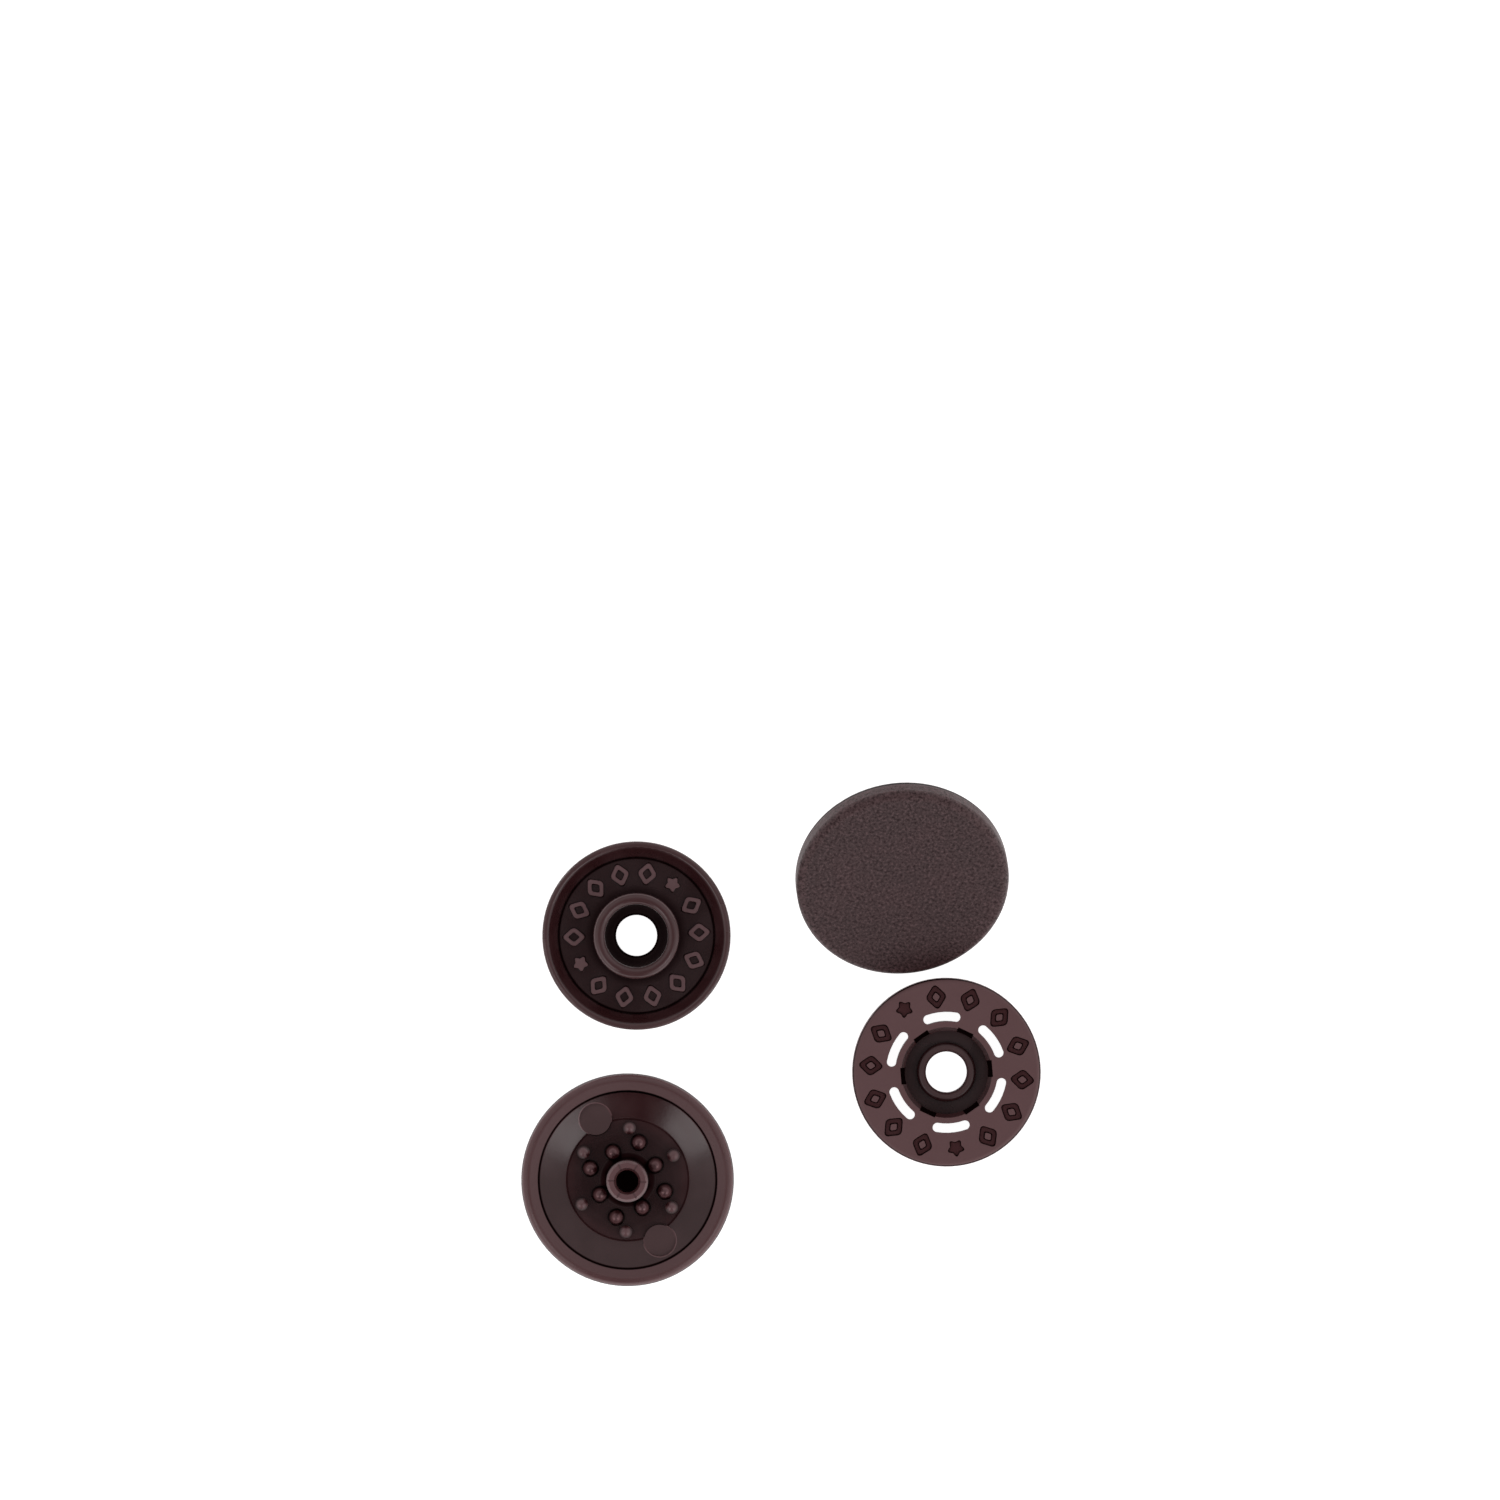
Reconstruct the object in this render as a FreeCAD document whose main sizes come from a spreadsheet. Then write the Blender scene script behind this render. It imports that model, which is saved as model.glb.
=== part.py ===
"""Plastic snap fastener for light fabrics, one complete set laid out loose on a table.

Two equal caps with hollow posts, a socket and a stud, each one round moulding.  A post is pushed
through the cloth and through the bore of the socket or the stud, and its tip is then pressed flat.
The boss of the stud snaps into the recess of the socket.

Every piece is drawn about its own upright axis, in millimetres.  The cap is drawn with its outer
face at height zero and its post up, the socket and the stud with the side that meets the other up.
"""

import FreeCAD
import Part
import Sketcher
import math
import os
from types import SimpleNamespace

from FreeCAD import Placement, Rotation, Vector

# Driving dimensions in millimetres and degrees
SIZES = {
    # fit shared by the posts, the socket and the stud
    "bore_radius": 1.35,
    "bore_chamfer": 0.15,
    "post_clearance": 0.07,
    "head_press": 0.025,
    "flange_radius": 6.2,
    # snap shared by the stud and the socket
    "boss_radius": 2.82,
    "boss_height": 1.7,
    "boss_undercut": 0.16,
    "boss_lip": 0.6,
    "snap_bite": 0.08,
    "recess_clearance": 0.08,
    "recess_spare": 0.1,
    "chamber_radius": 2.08,
    "seat_clearance": 0.13,
    # cap, a dish with a broad rim
    "cap_radius": 7.0,
    "cap_thickness": 1.8,
    "cap_face_round": 0.5,
    "cap_rim_round": 0.45,
    "cap_rim_width": 1.18,
    "cap_rim_crown": 0.12,
    "cap_rim_step": 0.16,
    "cap_rim_batter": 0.08,
    "cap_rim_break": 0.06,
    "cap_floor": 0.9,
    "cap_floor_radius": 3.95,
    "cap_floor_step": 0.12,
    # two round ejector marks where the slope of the dish meets its floor
    "ejector_radius": 1.07,
    "ejector_circle": 4.5,
    "ejector_level": 1.22,
    "ejector_count": 2,
    # grip pins in the dish
    "outer_pin_radius": 0.43,
    "outer_pin_side": 0.42,
    "outer_pin_height": 0.6,
    "outer_pin_circle": 3.43,
    "outer_pin_count": 6,
    "inner_pin_radius": 0.58,
    "inner_pin_side": 0.14,
    "inner_pin_height": 0.64,
    "near_pin_circle": 2.07,
    "far_pin_circle": 2.57,
    "inner_pin_count": 4,
    # post with a bead and a hollow tip
    "post_length": 4.2,
    "post_root_round": 0.55,
    "head_length": 0.55,
    "head_lead": 0.55,
    "tip_radius": 1.2,
    "tip_bevel": 0.18,
    "tip_hole_radius": 0.74,
    "tip_hole_bevel": 0.12,
    "tip_hole_depth": 3.0,
    "tip_notch_width": 0.1,
    "tip_notch_depth": 0.07,
    "tip_notch_count": 6,
    # socket, a flange with a rim behind it and a hub held by ribs
    "socket_height": 2.9,
    "socket_flange": 0.8,
    "socket_rim_width": 0.74,
    "socket_rim_setback": 0.6,
    "socket_face_round": 0.32,
    "socket_rim_round": 0.15,
    "socket_hub_radius": 3.36,
    "socket_hub_end_radius": 2.67,
    "socket_hub_end_round": 0.1,
    "socket_hub_step": 0.14,
    "socket_collar": 0.6,
    "socket_lead": 0.26,
    "socket_lip": 0.64,
    "socket_seat": 0.6,
    "socket_seat_round": 0.25,
    "slot_width": 0.62,
    "slot_half_angle": 14.36,
    "slot_count": 6,
    "notch_reach": 0.28,
    "notch_width": 1.1,
    "notch_depth": 0.8,
    "rib_width": 1.39,
    "rib_inner_width": 1.09,
    "rib_step_radius": 4.16,
    "rib_setback": 0.3,
    "rib_fall": 0.45,
    "rib_step": 0.1,
    "hub_pin_radius": 0.34,
    "hub_pin_circle": 2.96,
    "hub_pin_setback": 0.12,
    "hub_pin_dome": 0.14,
    "hub_pin_count": 8,
    # stud, a shallow dish with a tubular boss and claws behind it
    "stud_plate": 0.7,
    "stud_rim_height": 0.9,
    "stud_rim_width": 0.42,
    "stud_rim_slope": 0.74,
    "stud_rim_round": 0.2,
    "stud_rim_inner_round": 0.3,
    "stud_back_round": 0.3,
    "stud_mouth_flare": 0.06,
    "stud_mouth_depth": 0.25,
    "stud_lip_round": 0.34,
    "stud_mouth_round": 0.3,
    "stud_chamber_floor": 1.3,
    "stud_hub_radius": 2.72,
    "stud_hub_setback": 0.1,
    "stud_hub_round": 0.1,
    "stud_moat_radius": 4.05,
    "stud_moat_depth": 0.35,
    "stud_moat_slope": 0.2,
    "spoke_width": 0.54,
    "spoke_setback": 0.28,
    "claw_radius": 0.53,
    "claw_circle": 4.26,
    "claw_height": 0.75,
    "claw_dome": 0.25,
    "claw_count": 8,
    "stud_pin_radius": 0.37,
    "stud_pin_circle": 3.0,
    "stud_pin_height": 0.45,
    "stud_pin_dome": 0.18,
    # depth by which one form runs into the next, so that they join
    "weld": 0.1,
    # places of the pieces on the table, and their turns
    "stud_x": -9.5,
    "stud_y": 6.5,
    "inner_cap_x": -10.09,
    "inner_cap_y": -9.58,
    "inner_cap_turn": 118,
    "outer_cap_x": 8.02,
    "outer_cap_y": 9.82,
    "outer_cap_turn": 40,
    "outer_cap_lean": 278.5,
    # the socket lies just past the lowered edge of the outer cap, a little to one side
    "socket_gap": 0.62,
    "socket_aside": 4.6,
    "socket_turn": 4.9,
}

FULL_TURN = 360
TOLERANCE = 1e-4
UP = 0
DOWN = 180


class Length:
    """A size together with the expression that ties it to the sheet."""

    def __init__(self, value, text):
        self.value = float(value)
        self.text = text

    def __add__(self, other):
        return combine(self, "+", other, self.value + number(other))

    def __sub__(self, other):
        return combine(self, "-", other, self.value - number(other))

    def __truediv__(self, other):
        return combine(self, "/", other, self.value / number(other))


def number(size):
    """Plain value of a size or of a bare number."""
    return size.value if isinstance(size, Length) else float(size)


def combine(left, sign, right, value):
    """Size that is worked out from two others."""
    right_text = right.text if isinstance(right, Length) else str(right)
    return Length(value, f"({left.text} {sign} {right_text})")


def polar(radius, angle):
    """Place on a circle as a pair of sizes."""
    turn = math.radians(angle.value)
    x = Length(radius.value * math.cos(turn), f"({radius.text} * cos({angle.text}))")
    y = Length(radius.value * math.sin(turn), f"({radius.text} * sin({angle.text}))")
    return x, y


ZERO = Length(0, "0")
HALF_TURN = Length(180, "180")


def add_sheet(doc):
    """Sheet of the driving dimensions, and the sizes read from it by name."""
    sheet = doc.addObject("Spreadsheet::Sheet", "Sizes")
    for row, (name, value) in enumerate(SIZES.items(), start=1):
        sheet.set(f"A{row}", name)
        sheet.set(f"B{row}", str(value))
        sheet.setAlias(f"B{row}", name)
    doc.recompute()
    sizes = {name: Length(sheet.get(name), f"{sheet.Name}.{name}") for name in SIZES}
    return SimpleNamespace(**sizes)


def origin_feature(body, role):
    """Plane or axis of the body's own origin."""
    return next(item for item in body.Origin.OriginFeatures if item.Role == role)


def add_sketch(body, name, plane, x=ZERO, y=ZERO, z=ZERO, tilt=UP):
    """Sketch on a plane of the body's origin, moved to a place given in the body's axes."""
    sketch = body.newObject("Sketcher::SketchObject", name)
    sketch.AttachmentSupport = [(origin_feature(body, plane), "")]
    sketch.MapMode = "FlatFace"
    if plane == "XZ_Plane":
        along, across, off = x, z, ZERO - y
    else:
        along, across, off = x, y, z
    place = Vector(along.value, across.value, off.value)
    sketch.AttachmentOffset = Placement(place, Rotation(Vector(1, 0, 0), tilt))
    for axis, size in (("x", along), ("y", across), ("z", off)):
        sketch.setExpression(f".AttachmentOffset.Base.{axis}", size.text)
    return sketch


def bind(sketch, kind, where, size):
    """Dimension of a sketch, tied to a size."""
    index = sketch.addConstraint(Sketcher.Constraint(kind, *where, size.value))
    sketch.setExpression(f"Constraints[{index}]", size.text)


def place_point(sketch, geometry, point, x, y):
    """Point of a sketch held at a place measured from the sketch's origin."""
    if x is ZERO:
        sketch.addConstraint(Sketcher.Constraint("PointOnObject", geometry, point, -2))
    else:
        bind(sketch, "DistanceX", (-1, 1, geometry, point), x)
    if y is ZERO:
        sketch.addConstraint(Sketcher.Constraint("PointOnObject", geometry, point, -1))
    else:
        bind(sketch, "DistanceY", (-1, 1, geometry, point), y)


def draw_outline(sketch, corners):
    """Closed outline of straight lines through the given corners."""
    ends = corners[1:] + corners[:1]
    for start, end in zip(corners, ends):
        first = Vector(start[0].value, start[1].value, 0)
        last = Vector(end[0].value, end[1].value, 0)
        sketch.addGeometry(Part.LineSegment(first, last))
    for index in range(len(corners)):
        following = (index + 1) % len(corners)
        sketch.addConstraint(Sketcher.Constraint("Coincident", index, 2, following, 1))
    for index, (x, y) in enumerate(corners):
        place_point(sketch, index, 1, x, y)


def draw_block(sketch, start, end, width):
    """Rectangle along the X axis, as wide to each side of it."""
    half = width / 2
    draw_outline(sketch, [(start, ZERO - half), (end, ZERO - half), (end, half), (start, half)])


def draw_circle(sketch, x, y, radius):
    """Circle about a point."""
    centre = Vector(x.value, y.value, 0)
    circle = sketch.addGeometry(Part.Circle(centre, Vector(0, 0, 1), radius.value))
    place_point(sketch, circle, 3, x, y)
    bind(sketch, "Radius", (circle,), radius)


def draw_arc(sketch, centre, radius, start, end):
    """Arc between two angles in degrees."""
    circle = Part.Circle(centre, Vector(0, 0, 1), radius)
    return sketch.addGeometry(Part.ArcOfCircle(circle, math.radians(start), math.radians(end)))


def draw_slot(sketch, inner, width, middle, half_angle):
    """Slot that follows a circle and has round ends."""
    outer = inner + width
    mean = inner + width / 2
    first = middle - half_angle
    last = middle + half_angle
    origin = Vector(0, 0, 0)
    ends = [polar(mean, first), polar(mean, last)]
    centres = [Vector(x.value, y.value, 0) for x, y in ends]
    half_turn = HALF_TURN.value
    far = draw_arc(sketch, origin, outer.value, first.value, last.value)
    cap = draw_arc(sketch, centres[1], width.value / 2, last.value, last.value + half_turn)
    near = draw_arc(sketch, origin, inner.value, first.value, last.value)
    foot = draw_arc(sketch, centres[0], width.value / 2, first.value - half_turn, first.value)
    for arc, radius in ((far, outer), (near, inner)):
        sketch.addConstraint(Sketcher.Constraint("Coincident", arc, 3, -1, 1))
        bind(sketch, "Radius", (arc,), radius)
    joins = ((far, 2, cap, 1), (cap, 2, near, 2), (near, 1, foot, 1), (foot, 2, far, 1))
    for join in joins:
        sketch.addConstraint(Sketcher.Constraint("Tangent", *join))
    bind(sketch, "DistanceY", (-1, 1, cap, 3), ends[1][1])
    bind(sketch, "DistanceY", (-1, 1, foot, 3), ends[0][1])


def draw_dome(sketch, radius, side, height):
    """Half outline of a round pin with upright sides and a domed top, beside its axis."""
    rise = height.value - side.value
    bend = (radius.value ** 2 + rise ** 2) / (2 * rise)
    centre = Vector(0, height.value - bend, 0)
    lean = math.degrees(math.asin((bend - rise) / bend))
    corner = Vector(radius.value, 0, 0)
    shoulder = Vector(radius.value, side.value, 0)
    foot = sketch.addGeometry(Part.LineSegment(Vector(0, 0, 0), corner))
    wall = sketch.addGeometry(Part.LineSegment(corner, shoulder))
    dome = draw_arc(sketch, centre, bend, lean, 90)
    axis = sketch.addGeometry(Part.LineSegment(Vector(0, height.value, 0), Vector(0, 0, 0)))
    sketch.addConstraint(Sketcher.Constraint("Coincident", foot, 1, -1, 1))
    for one, other in ((foot, wall), (wall, dome), (dome, axis), (axis, foot)):
        sketch.addConstraint(Sketcher.Constraint("Coincident", one, 2, other, 1))
    sketch.addConstraint(Sketcher.Constraint("Horizontal", foot))
    sketch.addConstraint(Sketcher.Constraint("Vertical", wall))
    sketch.addConstraint(Sketcher.Constraint("Vertical", axis))
    sketch.addConstraint(Sketcher.Constraint("PointOnObject", dome, 3, -2))
    bind(sketch, "DistanceX", (-1, 1, foot, 2), radius)
    bind(sketch, "DistanceY", (-1, 1, wall, 2), side)
    bind(sketch, "DistanceY", (-1, 1, axis, 1), height)


def settle(body, feature, adds):
    """Recompute a feature and make sure that it added or removed material, as it should."""
    before = feature.BaseFeature.Shape.Volume if feature.BaseFeature else 0
    body.Document.recompute()
    change = feature.Shape.Volume - before
    if adds != (change > 0) or abs(change) < TOLERANCE:
        raise ValueError(f"{body.Label}: {feature.Name} changes the volume by {change:.4f}")
    return feature


def turned(body, name, sketch):
    """Round form, turned about the upright axis of its sketch."""
    feature = body.newObject("PartDesign::Revolution", name)
    feature.Profile = sketch
    feature.ReferenceAxis = (sketch, ["V_Axis"])
    feature.Angle = FULL_TURN
    return settle(body, feature, adds=True)


def turned_body(body, name, corners):
    """Round form about the body's own axis, from half of its section."""
    sketch = add_sketch(body, f"{name}Profile", "XZ_Plane")
    draw_outline(sketch, corners)
    return turned(body, name, sketch)


def domed_pin(body, name, radius, side, height, x, y, z, pointing=UP):
    """Domed pin that stands at a place and points up or down."""
    sketch = add_sketch(body, f"{name}Profile", "XZ_Plane", x, y, z, pointing)
    draw_dome(sketch, radius, side, height)
    return turned(body, name, sketch)


def pad(body, name, sketch, length, symmetric=False):
    """Form raised from a sketch."""
    feature = body.newObject("PartDesign::Pad", name)
    feature.Profile = sketch
    feature.SideType = "Symmetric" if symmetric else "One side"
    feature.Length = length.value
    feature.setExpression("Length", length.text)
    return settle(body, feature, adds=True)


def pocket(body, name, sketch, depth, upward=False):
    """Form cut down from a sketch, or up from it."""
    feature = body.newObject("PartDesign::Pocket", name)
    feature.Profile = sketch
    feature.Reversed = upward
    feature.Length = depth.value
    feature.setExpression("Length", depth.text)
    return settle(body, feature, adds=False)


def repeat(body, name, features, count):
    """Features repeated evenly about the body's axis."""
    pattern = body.newObject("PartDesign::PolarPattern", name)
    pattern.Originals = features
    pattern.Axis = (origin_feature(body, "Z_Axis"), [""])
    pattern.Angle = FULL_TURN
    pattern.Occurrences = round(count.value)
    pattern.setExpression("Occurrences", count.text)
    body.Tip = pattern
    body.Document.recompute()
    return pattern


def ring_edges(shape, radius, height):
    """Names of the circular edges about the axis that have a radius and a height."""
    names = []
    for index, edge in enumerate(shape.Edges, start=1):
        curve = edge.Curve
        if not isinstance(curve, Part.Circle):
            continue
        centre = curve.Center
        off_size = abs(curve.Radius - radius.value)
        off_height = abs(centre.z - height.value)
        off_axis = math.hypot(centre.x, centre.y)
        if max(off_size, off_height, off_axis) < TOLERANCE:
            names.append(f"Edge{index}")
    return names


def round_rings(body, name, radius, rings):
    """Fillet on the ring edges at the given pairs of radius and height."""
    base = body.Tip
    edges = [edge for ring in rings for edge in ring_edges(base.Shape, *ring)]
    if not edges:
        raise ValueError(f"{body.Label}: {name} finds no edge")
    fillet = body.newObject("PartDesign::Fillet", name)
    fillet.Base = (base, edges)
    fillet.Radius = radius.value
    fillet.setExpression("Radius", radius.text)
    body.Document.recompute()
    return fillet


def add_cap(doc, s, label):
    """Cap: plain outer face, dished inner side with grip pins, and a hollow post."""
    body = doc.addObject("PartDesign::Body", label)
    body.Label = label
    rim_inner = s.cap_radius - s.cap_rim_width
    rim_middle = rim_inner + s.cap_rim_width / 2
    rim_edge = s.cap_thickness - s.cap_rim_crown
    shaft = s.bore_radius - s.post_clearance
    head = s.bore_radius + s.head_press
    tip = s.cap_floor + s.post_length
    head_start = tip - s.head_length
    hole_floor = tip - s.tip_hole_depth
    turned_body(body, "Dish", [
        (ZERO, ZERO),
        (s.cap_radius, ZERO),
        (s.cap_radius, s.cap_thickness),
        (rim_middle, s.cap_thickness),
        (rim_inner + s.cap_rim_batter, rim_edge),
        (rim_inner, rim_edge - s.cap_rim_step),
        (s.cap_floor_radius + s.cap_floor_step, s.cap_floor + s.cap_floor_step),
        (s.cap_floor_radius, s.cap_floor),
        (shaft, s.cap_floor),
        (shaft, head_start - s.head_lead),
        (head, head_start),
        (head, tip - s.tip_bevel),
        (s.tip_radius, tip),
        (s.tip_hole_radius + s.tip_hole_bevel, tip),
        (s.tip_hole_radius, tip - s.tip_hole_bevel),
        (s.tip_hole_radius, hole_floor),
        (ZERO, hole_floor),
    ])
    round_rings(body, "FaceRound", s.cap_face_round, [(s.cap_radius, ZERO)])
    round_rings(body, "RimRound", s.cap_rim_round, [(s.cap_radius, s.cap_thickness)])
    round_rings(body, "RimBreak", s.cap_rim_break, [(rim_inner + s.cap_rim_batter, rim_edge)])
    round_rings(body, "PostRoot", s.post_root_round, [(shaft, s.cap_floor)])

    sketch = add_sketch(body, "EjectorSketch", "XY_Plane", z=s.cap_floor - s.weld)
    draw_circle(sketch, s.ejector_circle, ZERO, s.ejector_radius)
    raised = pad(body, "EjectorRaised", sketch, s.ejector_level - s.cap_floor + s.weld)
    sketch = add_sketch(body, "EjectorSunkSketch", "XY_Plane", z=s.ejector_level)
    draw_circle(sketch, s.ejector_circle, ZERO, s.ejector_radius)
    sunk = pocket(body, "EjectorSunk", sketch, s.cap_thickness - s.ejector_level, upward=True)
    repeat(body, "EjectorMarks", [raised, sunk], s.ejector_count)

    foot = s.cap_floor - s.weld
    rings = (
        ("OuterPin", s.outer_pin_radius, s.outer_pin_side, s.outer_pin_height, s.outer_pin_circle,
         HALF_TURN / s.outer_pin_count, s.outer_pin_count),
        ("NearPin", s.inner_pin_radius, s.inner_pin_side, s.inner_pin_height, s.near_pin_circle,
         ZERO, s.inner_pin_count),
        ("FarPin", s.inner_pin_radius, s.inner_pin_side, s.inner_pin_height, s.far_pin_circle,
         HALF_TURN / s.inner_pin_count, s.inner_pin_count),
    )
    for name, radius, side, height, circle, angle, count in rings:
        x, y = polar(circle, angle)
        pin = domed_pin(body, name, radius, side + s.weld, height + s.weld, x, y, foot)
        repeat(body, f"{name}s", [pin], count)

    sketch = add_sketch(body, "TipNotchSketch", "XY_Plane", z=tip)
    draw_block(sketch, s.tip_hole_radius - s.weld, head + s.weld, s.tip_notch_width)
    notch = pocket(body, "TipNotch", sketch, s.tip_notch_depth)
    repeat(body, "TipNotches", [notch], s.tip_notch_count)
    return body


def add_socket(doc, s):
    """Socket: slotted flange with a rim and ribs behind it, and a hub with the snap recess."""
    body = doc.addObject("PartDesign::Body", "socket")
    body.Label = "socket"
    front = s.socket_height
    back = front - s.socket_flange
    rim_inner = s.flange_radius - s.socket_rim_width
    recess = s.boss_radius + s.recess_clearance
    mouth = s.boss_radius - s.snap_bite
    recess_floor = front - s.boss_height - s.recess_spare
    lip_end = front - s.socket_lead - s.socket_lip
    seat_radius = s.chamber_radius - s.seat_clearance
    seat = recess_floor + s.socket_seat
    turned_body(body, "Flange", [
        (s.bore_radius, ZERO),
        (s.socket_hub_end_radius, ZERO),
        (s.socket_hub_end_radius, s.socket_hub_step),
        (s.socket_hub_radius, s.socket_collar),
        (s.socket_hub_radius, back),
        (rim_inner, back),
        (rim_inner, s.socket_rim_setback),
        (s.flange_radius, s.socket_rim_setback),
        (s.flange_radius, front),
        (mouth + s.socket_lead, front),
        (mouth, front - s.socket_lead),
        (mouth, lip_end),
        (recess, lip_end - (recess - mouth)),
        (recess, recess_floor),
        (seat_radius, recess_floor),
        (seat_radius, seat),
        (s.bore_radius + s.bore_chamfer, seat),
        (s.bore_radius, seat - s.bore_chamfer),
    ])
    round_rings(body, "FaceRound", s.socket_face_round, [(s.flange_radius, front)])
    rim_edges = [(s.flange_radius, s.socket_rim_setback), (rim_inner, s.socket_rim_setback)]
    round_rings(body, "RimRound", s.socket_rim_round, rim_edges)
    round_rings(body, "HubEndRound", s.socket_hub_end_round, [(s.socket_hub_end_radius, ZERO)])
    round_rings(body, "SeatRound", s.socket_seat_round, [(seat_radius, seat)])

    half_pitch = HALF_TURN / s.slot_count
    sketch = add_sketch(body, "SlotSketch", "XY_Plane", z=front)
    draw_slot(sketch, s.socket_hub_radius, s.slot_width, half_pitch, s.slot_half_angle)
    slot = pocket(body, "Slot", sketch, s.socket_flange + s.weld)
    repeat(body, "Slots", [slot], s.slot_count)

    sketch = add_sketch(body, "NotchSketch", "XY_Plane", z=front)
    draw_block(sketch, mouth - s.weld, mouth + s.notch_reach, s.notch_width)
    notch = pocket(body, "Notch", sketch, s.notch_depth)
    repeat(body, "Notches", [notch], s.slot_count)

    rib_top = s.socket_rim_setback + s.rib_setback
    sketch = add_sketch(body, "RibSketch", "XY_Plane", z=rib_top)
    draw_block(sketch, s.rib_step_radius, rim_inner + s.weld, s.rib_width)
    outer = pad(body, "Rib", sketch, back + s.weld - rib_top)
    sketch = add_sketch(body, "SaddleSketch", "XZ_Plane")
    start = s.socket_hub_radius - s.weld
    end = s.rib_step_radius + s.weld
    draw_outline(sketch, [
        (start, back + s.weld),
        (start, rib_top + s.rib_fall),
        (end, rib_top + s.rib_step),
        (end, back + s.weld),
    ])
    saddle = pad(body, "Saddle", sketch, s.rib_inner_width, symmetric=True)
    repeat(body, "Ribs", [outer, saddle], s.slot_count)

    side = s.socket_collar - s.hub_pin_setback - s.hub_pin_dome
    pin = domed_pin(body, "HubPin", s.hub_pin_radius, side, side + s.hub_pin_dome,
                    s.hub_pin_circle, ZERO, s.socket_collar, DOWN)
    repeat(body, "HubPins", [pin], s.hub_pin_count)
    return body


def add_stud(doc, s):
    """Stud: dished plate with a tubular boss, and spokes with claws behind it."""
    body = doc.addObject("PartDesign::Body", "stud")
    body.Label = "stud"
    back = s.claw_height
    floor = back + s.stud_plate
    rim = floor + s.stud_rim_height
    top = rim + s.boss_height
    rim_inner = s.flange_radius - s.stud_rim_width
    moat = back + s.stud_moat_depth
    neck = s.boss_radius - s.boss_undercut
    hub_end = s.stud_hub_setback
    chamber_floor = hub_end + s.stud_chamber_floor
    turned_body(body, "Plate", [
        (s.bore_radius, hub_end),
        (s.stud_hub_radius, hub_end),
        (s.stud_hub_radius, moat),
        (s.stud_moat_radius - s.stud_moat_slope, moat),
        (s.stud_moat_radius, back),
        (s.flange_radius, back),
        (s.flange_radius, rim),
        (rim_inner, rim),
        (rim_inner - s.stud_rim_slope, floor),
        (neck, floor),
        (neck, top - s.boss_lip - s.boss_undercut),
        (s.boss_radius, top - s.boss_lip),
        (s.boss_radius, top),
        (s.chamber_radius + s.stud_mouth_flare, top),
        (s.chamber_radius, top - s.stud_mouth_depth),
        (s.chamber_radius, chamber_floor),
        (s.bore_radius + s.bore_chamfer, chamber_floor),
        (s.bore_radius, chamber_floor - s.bore_chamfer),
    ])
    round_rings(body, "RimRound", s.stud_rim_round, [(s.flange_radius, rim)])
    round_rings(body, "RimInnerRound", s.stud_rim_inner_round, [(rim_inner, rim)])
    round_rings(body, "BackRound", s.stud_back_round, [(s.flange_radius, back)])
    round_rings(body, "LipRound", s.stud_lip_round, [(s.boss_radius, top)])
    round_rings(body, "MouthRound", s.stud_mouth_round, [(s.chamber_radius + s.stud_mouth_flare, top)])
    round_rings(body, "HubRound", s.stud_hub_round, [(s.stud_hub_radius, hub_end)])

    sketch = add_sketch(body, "SpokeSketch", "XY_Plane", z=s.spoke_setback)
    draw_block(sketch, s.stud_hub_radius - s.weld, s.claw_circle, s.spoke_width)
    spoke = pad(body, "Spoke", sketch, moat + s.weld - s.spoke_setback)
    claw_side = s.claw_height - s.claw_dome
    claw = domed_pin(body, "Claw", s.claw_radius, claw_side + s.weld, s.claw_height + s.weld,
                     s.claw_circle, ZERO, back + s.weld, DOWN)
    repeat(body, "Claws", [spoke, claw], s.claw_count)

    half_pitch = HALF_TURN / s.claw_count
    x, y = polar(s.stud_pin_circle, half_pitch)
    pin_side = s.stud_pin_height - s.stud_pin_dome
    pin = domed_pin(body, "StudPin", s.stud_pin_radius, pin_side + s.weld, s.stud_pin_height + s.weld,
                    x, y, moat + s.weld, DOWN)
    repeat(body, "StudPins", [pin], s.claw_count)
    return body


def rest_tilt(s):
    """Lean in degrees of a cap that lies face up on the rounded edge of its rim and its post."""
    tip = s.cap_floor.value + s.post_length.value
    across = s.cap_radius.value - s.cap_rim_round.value - s.tip_radius.value
    down = tip - (s.cap_thickness.value - s.cap_rim_round.value)
    straight = math.atan2(down, across)
    return math.degrees(straight - math.asin(s.cap_rim_round.value / math.hypot(across, down)))


def lay_face_up(s, x, y):
    """Placement of a cap that lies on its rim and its post, with its outer face up."""
    tilt = rest_tilt(s)
    lean = math.radians(s.outer_cap_lean.value)
    hinge = Vector(math.sin(lean), -math.cos(lean), 0)
    tip = s.cap_floor.value + s.post_length.value
    height = s.tip_radius.value * math.sin(math.radians(tilt)) + tip * math.cos(math.radians(tilt))
    spin = Rotation(Vector(0, 0, 1), s.outer_cap_turn.value)
    return Placement(Vector(x, y, height), Rotation(hinge, 180 - tilt) * spin)


def past_lowered_edge(s):
    """Place of the socket, its flange a small gap past the lowered edge of the leaning cap."""
    tilt = math.radians(rest_tilt(s))
    edge = s.cap_face_round.value
    reach = (s.cap_radius.value - edge) * math.cos(tilt) + edge * (1 - math.sin(tilt))
    distance = reach + s.socket_gap.value + s.flange_radius.value
    bearing = math.radians(s.outer_cap_lean.value + s.socket_aside.value)
    x = s.outer_cap_x.value + distance * math.cos(bearing)
    y = s.outer_cap_y.value + distance * math.sin(bearing)
    return x, y


def lay_flat(x, y, turn_angle):
    """Placement of a piece that lies flat."""
    return Placement(Vector(x, y, 0), Rotation(Vector(0, 0, 1), turn_angle))


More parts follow.
